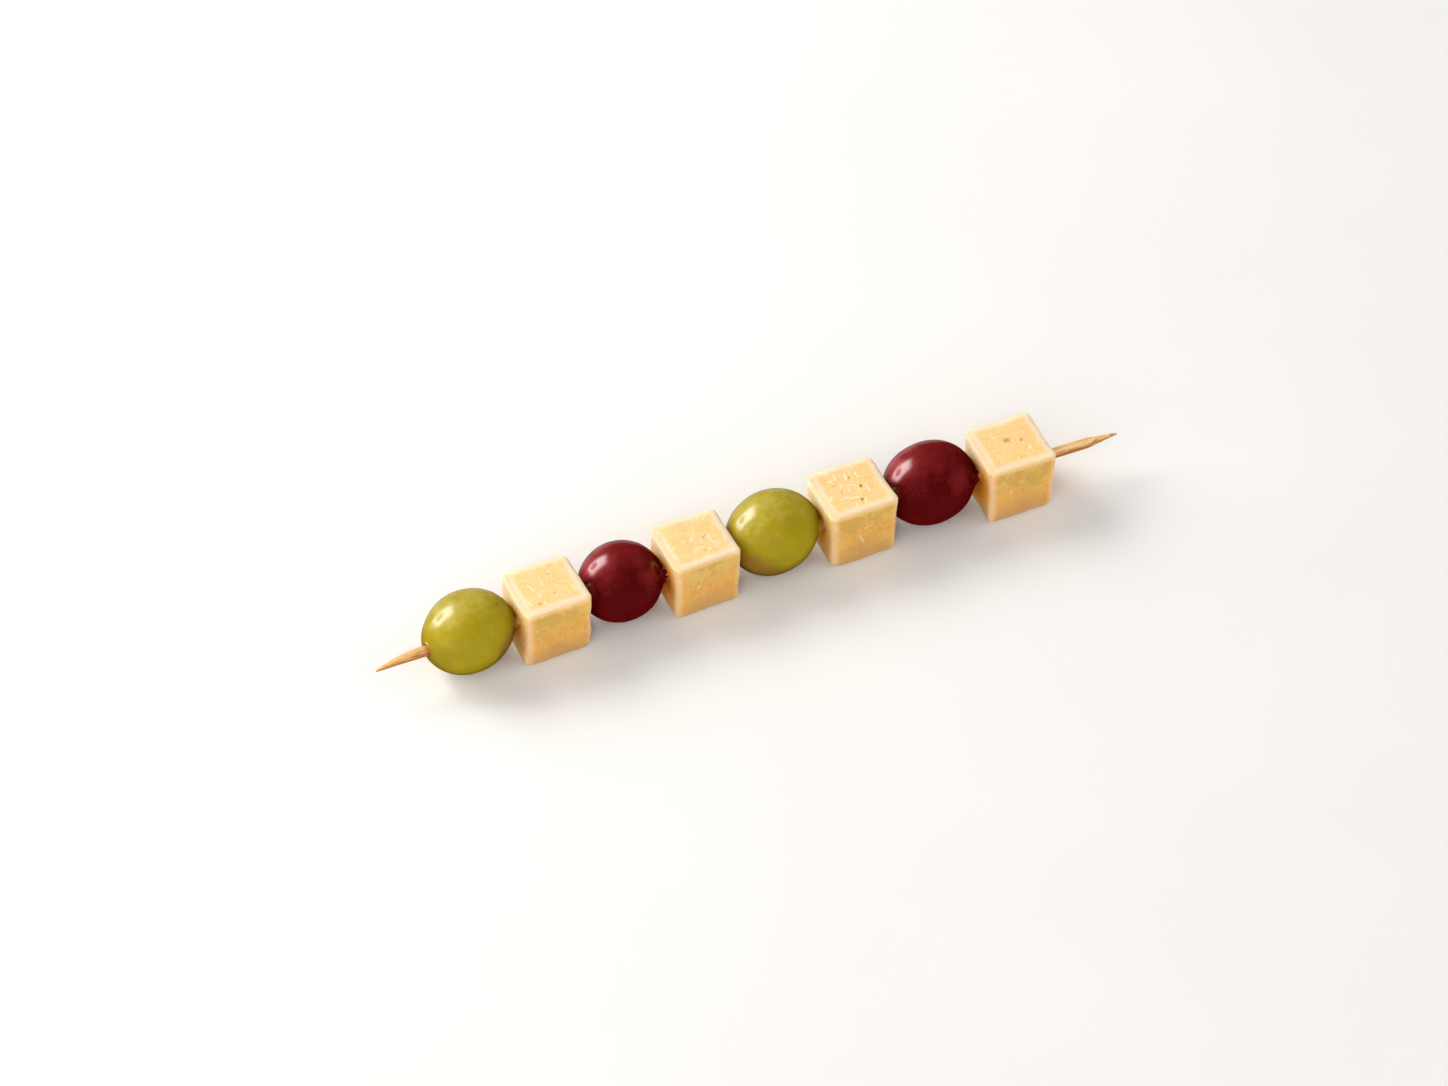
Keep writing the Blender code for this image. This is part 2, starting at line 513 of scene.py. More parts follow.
def stick_stations():
    """Places along the stick, close together in the points and far apart between them."""
    half = stick_high[0]
    start = np.linspace(-half, -half + START_TAPER, START_ROWS)
    body = np.linspace(-half + START_TAPER, half - END_TAPER, BODY_ROWS)[1:-1]
    end = np.linspace(half - END_TAPER, half, END_ROWS)
    return np.concatenate([start, body, end])


def stick_surface():
    """A ring carried along the stick.

    radius = full radius x taper x (1 + ridges that run along the fibres); the ring's middle drifts to
    the low front as the start tapers, by the radius lost there. The last rows close both tips.
    """
    x = stick_stations()[:, None]
    angle = np.linspace(0, 2 * math.pi, STICK_COLUMNS, endpoint=False)[None, :]
    share = taper(x)
    fibre = grid_of(x / 40, np.cos(angle) * STICK_RADIUS, np.sin(angle) * STICK_RADIUS)
    radius = STICK_RADIUS * share * (1 + layered_waves(fibre, RIDGES, RIDGE_SEED))
    lost = np.where(x < 0, STICK_RADIUS * (1 - share), 0) / math.sqrt(2)
    points = grid_of(x, AXIS_Y - lost + radius * np.cos(angle), AXIS_Z - lost + radius * np.sin(angle))
    first = np.broadcast_to(points[:1].mean(1, keepdims=True), points[:1].shape)
    final = np.broadcast_to(points[-1:].mean(1, keepdims=True), points[-1:].shape)
    return np.concatenate([first, points, final])


# %% Stick finish
def bamboo_finish():
    """Pale split bamboo: long thin fibres, dark strands, painted shade below and at its start, juice and
    shade at grapes.
    """
    finish = Finish("bamboo", Roughness=0.55, Specular_IOR_Level=0.35)
    along = finish.stretched((0.03, 1, 1))
    fine = finish.noise(0.22 * MM, 3, where=along)
    broad = finish.noise(0.8 * MM, 2, where=along)
    strands = finish.noise(0.35 * MM, 1, where=finish.stretched((0.07, 1, 1), (0.01, 0.003, 0)))
    under = finish.mark("under")
    finish.base = finish.mix(broad.rise(0.35, 0.65), colour(252, 216, 162), colour(244, 196, 124))
    # painted light and shade along the stick: darker towards its start, paler towards its shaded end
    finish.tint(finish.mark("light_gradient") * 0.8, 226, 178, 106)
    # painted shade: the stick's lower front is darker, with more dark strands
    finish.tint(under * 0.8, 196, 134, 58)
    finish.tint(fine.rise(0.45, 0.75) * 0.4, 200, 140, 70)
    finish.tint((strands + 0.2 * under).rise(0.6, 0.68) * 0.7, 170, 88, 30)
    # juice stain and painted contact shade where the stick meets a grape
    finish.tint(finish.mark("juice_and_shade") * 0.85, 182, 92, 20)
    finish.set(Base_Color=finish.base, Roughness=0.5 + 0.15 * fine)
    finish.bump(fine + 0.6 * strands, 0.03 * MM)
    return finish.material


# %% [markdown]
# ## The cheese cubes
# A block of firm cheese is cut into strips and then into cubes, so the faces are flat but not quite
# square, and the soft edges wear round. A rounded box could come from a Bevel modifier, but then the
# faces would have no points to carry pits and crumbs. Here one grid wraps the whole cube: it starts at
# the rim of the stick's hole, runs out over the start face, along the four sides, in over the end face
# and back through the hole. The cube is turned but its hole isn't: that follows the stick's own line.

# %% Cube numbers
EDGE_RADII = np.array([2.0, 2.0, 1.0]) * MM
CUBE_SIDE_COLUMNS = 112
CUBE_FACE_ROWS = 34
CUBE_LENGTH_ROWS = 126
CUBE_CROWDING = 0.35
HOLE_ROWS = 6
EDGE_WEAR, EDGE_WEAR_SIZE = 0.15, 4 * MM
CUBE_RELIEF = [(0.06, 5.0, 20), (0.03, 1.3, 40), (0.014, 0.55, 60)]
DRAG_LINES = [(0.012, 0.35, 80)]  # left by the knife: long along the faces and fine up the sides
DRAG_STRETCH = np.array([14, 14, 1])
FACE_SKIN = 0.02 * MM  # how near to a face's plane a point counts as lying on it
SKIN_REACH = (HOLE_RADIUS * 1.01, HOLE_RADIUS * 1.5)  # where the hole's smooth wall turns into cut cheese
THREAD_REACH = 4 * MM  # how far from the stick the faces shift to follow the hole
MET_REACH = (5.5 * MM, 7.5 * MM)  # where a grape has pressed an end flat, and where the relief is back
OPEN_END_SHADE = 0.45  # how much of the painted crevice shade the last cube's open end gets beside a pressed one
CREVICE_SHADE_FADE = 4  # mm over which the painted crevice shade round the stick fades out
PIT_DEPTH = 0.38  # mm
DRIP_SHIFT = np.array([0.6, 1.6]) * MM  # how far to the front and down from the stick the reddish smear lies
DRIP_STRETCH, DRIP_REACH = 1.8, (0.6 * MM, 2.2 * MM)

# For each cube: its turn in degrees; undercut, skew and the flare of its foot in mm; how much curd shows;
# how strong the reddish smear down its start face is; how far from its middle the painted crevice shade
# reaches, in mm; and how far down its sides the tan band of painted sheen reaches, in mm at five places
# from start to end. JUT is how far each cube's last corner at the front was dragged out by the knife.
JUT = 0.4 * MM
# places along each cube, in shares of its half length, where the painted sheen band's depths are given
SHEEN_BAND_AT = (-0.72, -0.48, 0.0, 0.4, 0.65)
CUBES = {
    "cheese_1": dict(turn=2.0, undercut=0.6, skew=0.9, flare=0.6, curd=0.3, smear=0.0, crevice_shade_reach=7.0,
                     sheen_band=(8.0, 7.4, 5.7, 5.4, 4.2), seed=11),
    "cheese_2": dict(turn=2.0, undercut=0.6, skew=1.2, flare=0.1, curd=0.4, smear=1.0, crevice_shade_reach=9.5,
                     sheen_band=(5.6, 7.0, 6.2, 7.0, 4.6), seed=12),
    "cheese_3": dict(turn=1.5, undercut=0.6, skew=0.3, flare=0.0, curd=0.6, smear=0.0, crevice_shade_reach=7.5,
                     sheen_band=(5.6, 7.2, 4.4, 5.3, 4.2), seed=13),
    "cheese_4": dict(turn=0.5, undercut=0.9, skew=0.0, flare=0.0, curd=0.3, smear=0.3, crevice_shade_reach=9.0,
                     sheen_band=(5.2, 6.4, 6.9, 10.2, 6.0), seed=14),
}

# The openings in each top, in mm: along and behind its middle, half width, half length, the angle of the
# long way in degrees, and how deep, and so how dark with painted shade, from 0 to 1. The curds are the pale
# strokes in a top: the same numbers, and how far their middle bows out.
TOP_PITS = {
    "cheese_1": [
        (1.8, 3.3, 0.22, 0.3, 100, 0.8), (1.0, -3.0, 0.2, 0.25, 90, 0.8), (-3.9, -5.0, 0.3, 0.6, 20, 0.6),
        (-1.6, -1.6, 0.12, 0.2, 90, 0.4)],
    "cheese_2": [
        (2.4, -0.1, 0.16, 0.8, 35, 0.7), (0.8, -4.5, 0.25, 0.3, 70, 0.5), (-3.3, 2.6, 0.12, 0.6, 60, 0.35),
        (5.2, 2.8, 0.15, 0.2, 0, 0.3)],
    "cheese_3": [
        (0.8, 3.3, 0.2, 0.55, 70, 0.8), (2.4, -0.4, 0.35, 0.55, 60, 1.0), (0.75, -4.6, 0.35, 0.45, 100, 1.0),
        (-2.9, -0.6, 0.25, 0.35, 90, 0.6), (-4.0, 2.1, 0.2, 0.3, 90, 0.5), (5.0, 1.8, 0.15, 0.3, 60, 0.4)],
    "cheese_4": [
        (-0.4, 1.2, 0.75, 0.95, 0, 0.62), (3.1, 0.0, 0.4, 0.6, 40, 0.55), (0.75, -5.4, 0.3, 0.35, 0, 0.45),
        (-2.6, 0.4, 0.15, 0.3, 60, 0.3)],
}
TOP_CURDS = {
    "cheese_1": [
        (-0.6, 0.9, 0.22, 1.0, 76, 0.9, 0.2), (-4.1, 0.5, 0.24, 1.6, 108, 1.0, -0.3),
        (-2.9, -2.7, 0.34, 0.6, 95, 1.0, 0.0), (-2.5, -5.4, 0.22, 0.9, 75, 0.8, 0.2),
        (2.4, -1.1, 0.24, 0.9, 100, 0.7, 0.2), (5.4, -3.1, 0.22, 1.5, 90, 0.6, -0.3),
        (4.9, 4.8, 0.2, 0.6, 80, 0.6, 0.1), (-5.9, -4.2, 0.24, 1.0, 115, 0.7, 0.3)],
    "cheese_2": [
        (-0.5, 0.3, 0.22, 1.7, 54, 1.0, 0.35), (-0.9, 2.0, 0.18, 0.7, 140, 0.6, 0.1),
        (-2.8, 0.2, 0.2, 1.0, 55, 0.7, -0.2), (-6.0, -1.1, 0.24, 0.7, 60, 0.7, 0.1),
        (3.5, -1.6, 0.26, 1.6, 97, 1.0, 0.2), (-0.5, -3.7, 0.22, 1.8, 10, 0.9, 0.35),
        (1.6, -4.6, 0.22, 0.8, 100, 0.7, -0.2), (5.0, 5.6, 0.2, 0.9, 40, 0.7, 0.3),
        (3.1, 5.9, 0.2, 0.7, 70, 0.7, 0.1), (7.0, -2.4, 0.24, 1.2, 75, 0.7, 0.2)],
    "cheese_3": [
        (-4.2, 6.3, 0.2, 0.7, 70, 0.8, 0.1), (-2.5, 4.7, 0.22, 1.3, 75, 0.8, 0.3),
        (-4.2, 3.7, 0.22, 1.0, 5, 0.8, 0.2), (-0.2, 3.9, 0.24, 1.2, 80, 0.9, -0.2),
        (3.0, 3.5, 0.24, 1.3, 92, 0.9, 0.25), (1.6, 4.8, 0.2, 0.6, 30, 0.7, 0.1),
        (-2.7, 1.4, 0.22, 1.1, 65, 0.9, -0.3), (-0.7, -0.2, 0.24, 1.3, 80, 1.0, 0.3),
        (0.6, 0.9, 0.22, 0.9, -30, 0.9, -0.2), (1.3, -1.6, 0.24, 1.0, 80, 0.9, 0.3),
        (3.4, -1.7, 0.26, 1.6, 92, 1.0, -0.15), (-6.2, -1.5, 0.22, 1.2, 45, 0.8, 0.2),
        (-3.3, -2.7, 0.22, 1.2, 15, 0.9, -0.2), (-0.9, -3.6, 0.26, 1.5, -5, 1.0, 0.3),
        (1.5, -5.3, 0.24, 1.0, 65, 0.9, 0.2), (-1.5, -5.8, 0.22, 0.9, 70, 0.8, -0.2),
        (4.4, -2.9, 0.2, 0.9, 85, 0.6, 0.2)],
    "cheese_4": [
        (-3.4, 3.2, 0.22, 0.8, -40, 0.8, 0.2), (3.8, -3.4, 0.24, 0.8, 55, 0.9, 0.1),
        (6.6, -1.8, 0.24, 1.0, 60, 0.7, -0.2), (-3.2, 1.6, 0.18, 0.6, 95, 0.5, 0.1)],
}
FRONT_CURDS = {
    "cheese_1": [
        (5.8, -2.0, 0.3, 1.2, 60, 0.5, 0.2)],
    "cheese_2": [
        (-2.7, 0.5, 0.5, 0.8, 75, 0.6, 0.0), (-1.4, -2.4, 0.2, 1.2, 110, 0.5, 0.2),
        (0.6, -3.4, 0.3, 0.5, 90, 0.4, 0.0)],
    "cheese_3": [
        (-0.8, -1.0, 0.34, 2.2, 112, 0.75, 0.2), (0.8, 2.6, 0.32, 1.6, 8, 0.6, 0.3),
        (-3.6, -1.4, 0.32, 0.7, 80, 0.5, 0.0), (1.6, 1.0, 0.26, 0.9, 70, 0.45, 0.2),
        (-0.2, -3.2, 0.26, 1.0, 125, 0.5, 0.2), (5.2, -2.6, 0.24, 0.6, 80, 0.45, 0.0)],
    "cheese_4": [
        (-3.3, 0.4, 0.26, 1.1, 86, 0.6, 0.1), (-0.6, -1.0, 0.3, 0.5, 60, 0.5, 0.0),
        (-5.6, -3.4, 0.24, 0.9, 70, 0.45, 0.2)],
}


# %% Cube grid
def square_outline():
    """Points round a square of half side 1, in order, crowded towards its corners: (y, z) pairs."""
    run = 2 * crowded(CUBE_SIDE_COLUMNS + 1, CUBE_CROWDING)[:-1] - 1
    one = np.ones_like(run)
    sides = [(run, -one), (one, run), (-run, one), (-one, -run)]
    return np.concatenate([np.stack(side, -1) for side in sides])


def sharp_box(half, hole):
    """The grid on a sharp-edged box round the origin whose hole runs along x through (y, z) = hole.

    Rows: out over the start face from hole rim to outline, along the sides, in over the end face, and
    back through the hole. A face's point is the rim's point moved a share of the way to the outline.
    """
    outline = square_outline() * half[1:]
    away = outline - hole
    rim = hole + HOLE_RADIUS * away / length(away, True)
    out = crowded(CUBE_FACE_ROWS, CUBE_CROWDING)[:, None, None]
    face = rim * (1 - out) + outline * out
    along = half[0] * (2 * crowded(CUBE_LENGTH_ROWS, CUBE_CROWDING)[1:-1] - 1)
    back = half[0] * np.linspace(1, -1, HOLE_ROWS + 2)[1:-1]
    rows = []
    for yz, x in [(face, -half[0]), (outline, along), (face[::-1], half[0]), (rim, back)]:
        x = np.reshape(x, (-1, 1, 1))
        yz = yz if yz.ndim == 3 else yz[None]
        shape = (max(len(x), len(yz)), len(outline))
        rows.append(np.concatenate(
            [np.broadcast_to(x, (*shape, 1)), np.broadcast_to(yz, (*shape, 2))], -1))
    return np.concatenate(rows)


def cube_sizes(node):
    """A cube's middle, its half sizes before it was turned, and its turn in radians.

    A turned box reaches out by h0 cos + h1 sin, so each half size is the box's less the other's share.
    """
    middle, size = middle_and_size(node)
    lean = math.radians(CUBES[node]["turn"])
    half = size / 2
    flat = np.linalg.solve([[math.cos(lean), math.sin(lean)], [math.sin(lean), math.cos(lean)]], half[:2])
    return middle, np.array([*flat, half[2]]), lean


def face_x(node, side, y, z):
    """Where a cube's start face (side -1) or end face (side 1) stands at y and z.

    It is a plane through the face's middle, turned with the cube; the end face leans in at its foot and
    juts out towards the front.
    """
    middle, half, lean = cube_sizes(node)
    plane = middle[0] + side * half[0] / math.cos(lean) - (y - middle[1]) * math.tan(lean)
    undercut = CUBES[node]["undercut"] * MM * np.clip(1 - z / (2 * half[2]), 0, 1)
    jut = JUT * np.clip((middle[1] - y) / half[1], 0, 1) ** 2
    return plane + (jut - undercut if side > 0 else 0)


# %% Cube relief
def oval_bells(x, y, ovals):
    """The highest of several oval bells, each exp(-(distance in half widths) to the fourth).

    A bow moves an oval's middle line sideways by bow x (1 - (share of the half length)^2).
    """
    height = np.zeros(x.shape)
    for cx, cy, wide, long, angle, strength, *bow in ovals:
        c, s = math.cos(math.radians(angle)), math.sin(math.radians(angle))
        dx, dy = x / MM - cx, y / MM - cy
        along = (dx * c + dy * s) / long
        across = (dy * c - dx * s - sum(bow) * (1 - along**2)) / wide
        reach = along**4 + across**2
        height = np.maximum(height, strength * np.exp(-(reach**2)))
    return height


def side_pits(seed, count=7):
    """A few small chance pits for a face that has no list of its own."""
    rng = np.random.default_rng(seed)
    return [(*rng.uniform(-6.5, 6.5, 2), rng.uniform(0.12, 0.25), rng.uniform(0.2, 0.5),
             rng.uniform(0, 180), rng.uniform(0.2, 0.6)) for _ in range(count)]


def pit_field(node, q, half, seed):
    """How open each point of a cube's skin is, from 0 to 1, on all six faces."""
    x, y, z = np.moveaxis(q, -1, 0)
    high, low = half - FACE_SKIN, FACE_SKIN - half
    faces = [(z > high[2], x, y, TOP_PITS[node]), (z < low[2], x, y, side_pits(seed)),
             (y < low[1], x, z, side_pits(seed + 1)), (y > high[1], x, z, side_pits(seed + 2)),
             (x < low[0], y, z, side_pits(seed + 3)), (x > high[0], y, z, side_pits(seed + 4))]
    field = np.zeros(x.shape)
    for on_face, across, up, ovals in faces:
        field = np.where(on_face, oval_bells(across, up, ovals), field)
    return field


# %% [markdown]
# ### From a sharp box to a cube on a stick
# The sharp box is rounded, given its bumps, knife lines and pits, and then bent the way the knife went
# astray. Last it is turned into its place and threaded. A Boolean could drill the hole, but it would
# leave long thin faces round the rim that shade badly.

# %% Cube shape
def rounded(q, half, seed):
    """A sharp box's points on the rounded box, and the unit vectors that point out of it there.

    A point q is held inside the box shrunk by the radii R; with n the unit vector of (q - held) / R, it
    goes to held + R n.
    """
    radii = EDGE_RADII * (1 + EDGE_WEAR * waves(q, EDGE_WEAR_SIZE, seed))[..., None]
    held = np.clip(q, radii - half, half - radii)
    n = (q - held) / radii
    n /= np.maximum(length(n, True), 1e-9)
    return held + radii * n, n


def pressed_ends(node, n):
    """How much each point lies on an end face, from 0 to 1, and whether a grape presses on that end."""
    return smooth(np.abs(n[..., 0]), 0.5, 0.95), (n[..., 0] < 0) | (node != ORDER[-1])


def cube_relief(node, q, n, from_axis, pit, seed):
    """How far each point stands out in mm: chance bumps and the knife's lines, less the pits.

    There is none in the hole, and only pits where a grape has pressed an end flat.
    """
    relief = layered_waves(q, CUBE_RELIEF, seed) + layered_waves(q / DRAG_STRETCH, DRAG_LINES, seed)
    end, met = pressed_ends(node, n)
    relief *= 1 - met * end * (1 - smooth(from_axis, *MET_REACH))
    return smooth(from_axis, *SKIN_REACH) * relief - PIT_DEPTH * pit


def crooked(points, half, undercut, skew, flare):
    """The box as the knife left it, from each point's place in shares of the half sizes.

    The foot of the start face flares out, the end face leans in below and its front edge is dragged out,
    and the back runs askew.
    """
    ahead, behind, up = np.moveaxis(points / half, -1, 0)
    foot = np.exp(-(((up + 1) / 0.5) ** 2))
    points[..., 0] -= flare * MM * foot * (1 - ahead) / 2 * smooth(-ahead, 0, 1)
    points[..., 0] -= undercut * MM * (1 + ahead) / 2 * (1 - up) / 2
    points[..., 0] += JUT * np.clip(ahead, 0, 1) * np.clip(-behind, 0, 1) ** 2
    points[..., 1] -= skew * MM / 2 * ahead * (1 + behind) / 2
    return points


def threaded(points, q, hole, from_axis, middle, turn):
    """The cube turned and put in its place, with its hole and the faces next to it on the stick's line."""
    spin = np.array(Matrix.Rotation(math.radians(turn), 3, "Z"))
    points = points @ spin.T + middle
    thread = 1 - smooth(from_axis, HOLE_RADIUS * 1.2, THREAD_REACH)
    on_line = AXIS + q[..., 1:] - hole
    points[..., 1:] += thread[..., None] * (on_line - points[..., 1:])
    points[..., 2] = np.maximum(points[..., 2], 0)
    return points


# %% Cube marks
def cube_strokes(node, q, half, curd):
    """The placed curd strokes on the top and the front, and how much chance curd the other faces show."""
    x, y, z = np.moveaxis(q, -1, 0)
    on_top, on_front = z > half[2] - FACE_SKIN, y < FACE_SKIN - half[1]
    stroke = np.where(on_top, oval_bells(x, y, TOP_CURDS[node]), 0)
    stroke = np.where(on_front & ~on_top, oval_bells(x, z, FRONT_CURDS[node]), stroke)
    return {"stroke": stroke, "curd": np.where(on_top | on_front, 0, curd)}


def cube_marks(node, q, n, half, hole, smear, crevice_shade_reach, sheen_band):
    """What the cheese finish reads at each point: distances in mm, and shares from 0 to 1.

    edge, upright, depth and sunk are distances to the nearest edge, to the nearest upright one, to the
    top and to the lower edge of the tan band of painted sheen.
    """
    x, y, z = np.moveaxis(q, -1, 0)
    nx, _, nz = np.moveaxis(n, -1, 0)
    end, met = pressed_ends(node, n)
    # painted shade: a ring round the stick where a grape presses and shades the end face
    ring = 1 - smooth(length(q[..., 1:] - [0.5 * MM, 0]), (crevice_shade_reach - CREVICE_SHADE_FADE) * MM, crevice_shade_reach * MM)
    drip = np.hypot(y - hole[0] + DRIP_SHIFT[0], (z - hole[1] + DRIP_SHIFT[1]) / DRIP_STRETCH)
    # painted light: the upper back of each start face, which no grape shades, is painted pale like the top
    unshaded_start = end * (0.1 + 0.9 * smooth(z + 0.8 * y, 1 * MM, 8 * MM))
    from_faces = half - np.abs(q)
    depth = half[2] - z
    return {
        "edge": np.sort(from_faces, axis=-1)[..., 1] / MM,
        "upright": np.max(from_faces[..., :2], axis=-1) / MM,
        "depth": depth / MM,
        "sunk": depth / MM - np.interp(x / half[0], SHEEN_BAND_AT, sheen_band),
        # painted light: the top and that upper back take the pale, lit copy of the cheese's colours
        "painted_lit": np.maximum(smooth(nz, 0.35, 0.9), unshaded_start),
        "pressed": end * ring * np.where(met, 1, OPEN_END_SHADE),
        # a reddish smear below the stick on the start face
        "red_smear": smear * (1 - smooth(drip, *DRIP_REACH)) * (nx < -0.8),
        # lit marks the top's rounded edge towards the start, where painted shade tones down the key's light
        "lit": smooth(-nx, 0.05, 0.6) * smooth(nz, 0.1, 0.5),
        "unshaded_start": unshaded_start,
    }


# %% Cube surface
def cube_surface(node, turn, undercut, skew, flare, curd, smear, crevice_shade_reach, sheen_band, seed):
    """A rounded, slightly crooked box with relief, threaded on the stick, and the marks for its finish."""
    middle, half, _ = cube_sizes(node)
    hole = AXIS - middle[1:]
    q = sharp_box(half, hole)
    from_axis = length(q[..., 1:] - hole)
    in_hole = from_axis < HOLE_RADIUS * 1.001
    points, n = rounded(q, half, seed)
    pit = pit_field(node, q, half, seed + 90) * smooth(from_axis, *SKIN_REACH)
    points += n * cube_relief(node, q, n, from_axis, pit, seed)[..., None] * MM
    points[in_hole] = q[in_hole]
    points = crooked(points, half, undercut, skew, flare)
    points = threaded(points, q, hole, from_axis, middle, turn)
    marks = cube_marks(node, q, n, half, hole, smear, crevice_shade_reach, sheen_band)
    return points, {**marks, **cube_strokes(node, q, half, curd), "pit": pit}


# %% [markdown]
# ### Cheese finish
# Firm yellow cheese lets light in a little way, so shaded faces glow orange. Cut faces show pale curd,
# short bent strokes, and small pits darkened with painted shade. Painted highlights pale the rounded
# edges, and painted light makes the whole top and the upper back of each start face, where no grape
# shades it, paler than the sides, which darken with painted shade towards their foot. Under the top edge
# the sides carry a tan band of painted sheen with a wavy lower edge. Where a grape presses, painted shade
# makes the cheese deep orange round the stick, and a reddish smear runs down some start faces.

# %% Cheese finish
def cheese_finish():
    """Yellow cheese: pale curd, painted shade in pits and crevices, painted light on edges and top, a red
    smear.
    """
    finish = Finish("cheese", Specular_IOR_Level=0.35, Subsurface_Weight=0.8,
                    Subsurface_Radius=(1.0, 0.45, 0.18), Subsurface_Scale=3 * MM)
    edge, upright, depth, painted_lit = (finish.mark(name) for name in ("edge", "upright", "depth", "painted_lit"))
    cloud = finish.noise(4 * MM, 3)
    fine = finish.noise(0.5 * MM, 3, 0.6)
    grain = finish.noise(0.9 * MM, 2, 0.6)
    share = finish.mark("curd")
    curd = finish.flecks(1.5 * MM, 3.0, 0.45, share) + finish.flecks(1.6 * MM, 2.5, -0.7, share)
    stroke = (finish.mark("stroke") + 0.5 * (fine - 0.5)).rise(0.3, 0.65)
    pricks = (1 - finish.spots(1.5 * MM).rise(0.06, 0.12)) * fine.rise(0.5, 0.6)
    ragged = 2.0 * (grain - 0.5) + 1.2 * (cloud - 0.5) + 1.2 * (fine - 0.5)
    # painted highlight: rim, corner and lip pale the top's rounded edges, the upright edges and the sides'
    # top
    rim = 1 - (edge + ragged).rise(1.3, 2.8)
    corner = 1 - (upright + 0.8 * ragged).rise(0.1, 2.5)
    lip = 1 - (depth + 0.5 * ragged).rise(0.5, 1.7)
    patchy = finish.noise(7 * MM, 2, 0.6)
    # painted sheen: a paler, greener tan band under the top edge of each side
    band = 1 - (finish.mark("sunk") + 2.4 * (patchy - 0.5) + ragged).rise(-0.9, 0.9)
    band = band * (upright + ragged).rise(0.8, 2.6)
    dull = (patchy + 0.5 * (grain - 0.5)).rise(0.42, 0.58)
    # painted shade: the sides darken towards their foot
    foot = (depth + 3.0 * (patchy - 0.5) + ragged + 0.35 * upright).rise(12.0, 18.5)
    tan = finish.mix(dull, colour(228, 196, 116), colour(212, 172, 86))
    finish.base = finish.mix(cloud.rise(0.35, 0.65), colour(234, 182, 88), colour(227, 171, 78))
    finish.tint((grain + fine - 0.5).rise(0.45, 0.7) * 0.5, 240, 196, 140)
    finish.base = finish.mix(band * 0.75, finish.base, tan)
    finish.tint(foot * 0.75, 206, 160, 106)
    finish.tint(corner * 0.7, 248, 214, 170)
    finish.tint(lip * 0.5, 250, 222, 174)
    # painted light: the colours above are the shaded copy for the sides, those below the paler lit copy for
    # the top
    side = finish.base
    finish.base = finish.mix(cloud.rise(0.35, 0.65), colour(250, 210, 146), colour(247, 205, 138))
    finish.tint((grain + fine - 0.5).rise(0.48, 0.72) * 0.6, 252, 228, 186)
    # painted light on the upper back of each start face
    finish.tint(finish.mark("unshaded_start") * 0.5, 254, 236, 200)
    finish.tint(rim * 0.85, 250, 228, 202)
    # painted shade: the top's rounded edge towards the start, which the key lights most, is painted darker
    finish.tint(finish.mark("lit") * 0.7, 230, 192, 152)
    finish.base = finish.mix(painted_lit, side, finish.base)
    # painted shade: deep orange in the crevice where a grape presses, weaker where the face is painted lit
    finish.tint(finish.mark("pressed") * (1 - 0.85 * painted_lit) * 0.95, 255, 150, 20)
    finish.tint(curd * (0.18 + 0.25 * painted_lit), 255, 238, 206)
    finish.tint(stroke * (0.4 + 0.4 * painted_lit), 255, 240, 214)
    finish.tint(pricks * 0.3, 206, 150, 84)
    # painted shade in the pits
    finish.tint(finish.mark("pit").rise(0.08, 0.8) * 0.75, 194, 128, 58)
    # a reddish smear below the stick on the start face
    finish.tint(finish.mark("red_smear") * fine.rise(0.35, 0.6) * 0.8, 170, 62, 30)
    finish.set(Base_Color=finish.base, Roughness=0.45 + 0.25 * fine)
    finish.bump(fine * 0.4 + curd * 0.15 + grain * 0.4, 0.06 * MM)
    return finish.material


cheese = cheese_finish()
for node, numbers in CUBES.items():
    points, marks = cube_surface(node, **numbers)
    cube = grid_piece(node.replace("cheese", "cheese_cube"), points, marks)
    cube.visible_glossy = False
    place(cube, node, cheese)

# %% [markdown]
# ## The grapes
# A grape is an oval berry with a taut, waxy skin. A stretched sphere would put its poles in the wrong
# place: the stick doesn't run along the grape's own axis. So the grid is spun round the stick instead,
# and each ray from a point on the stick finds the oval's surface. Where the stick goes in it drags the
# skin inwards, where it comes out it pushes up a small torn collar, and where a cube presses, the oval
# goes flat against the cheese.

# %% Grape numbers
GRAPE_COLUMNS = 192
GRAPE_ROWS = 180
GRAPE_CROWDING = 0.55
GRAPE_RELIEF = [(0.08, 7, 0), (0.015, 2.2, 50)]
USUAL_RADIUS = 10.3 * MM
PRESS_REACH = 0.5 * MM
PRESS_SPREAD = 3.4 * MM
PRESS_SOFTNESS = 0.05 * MM
TOUCH_GAP = 0.02 * MM  # between a pressed skin and the cube
RIM_REACH = 3 * MM  # how far from the stick the skin shifts so that its torn rim is round

# How far from the stick's axis the collar falls away, the lip of the drawn-in skin stands and the torn
# flesh shows.
COLLAR_REACH = (1.5 * MM, 1.95 * MM)
COLLAR_TOP = math.radians(110)  # where round the stick the collar stands highest
COLLAR_TEAR = 0.3
LIP_PLACE, LIP_WIDTH, LIP_HEIGHT = 1.85 * MM, 0.3 * MM, 0.35 * MM
DRAWN_REACH, DRAWN_DEPTH = 1.9 * MM, 0.18 * MM
WOUND_REACH = (1.7 * MM, 2.5 * MM)

# For each grape: turn and tip in degrees, and the height in mm of the torn collar where the stick leaves.
GRAPES = {
    "grape_green_1": dict(turn=10.0, tip=7.5, collar=0.4, seed=31),
    "grape_red_1": dict(turn=7.5, tip=5.5, collar=1.2, seed=32),
    "grape_green_2": dict(turn=7.0, tip=6.0, collar=1.1, seed=33),
    "grape_red_2": dict(turn=6.0, tip=5.0, collar=0.9, seed=34),
}

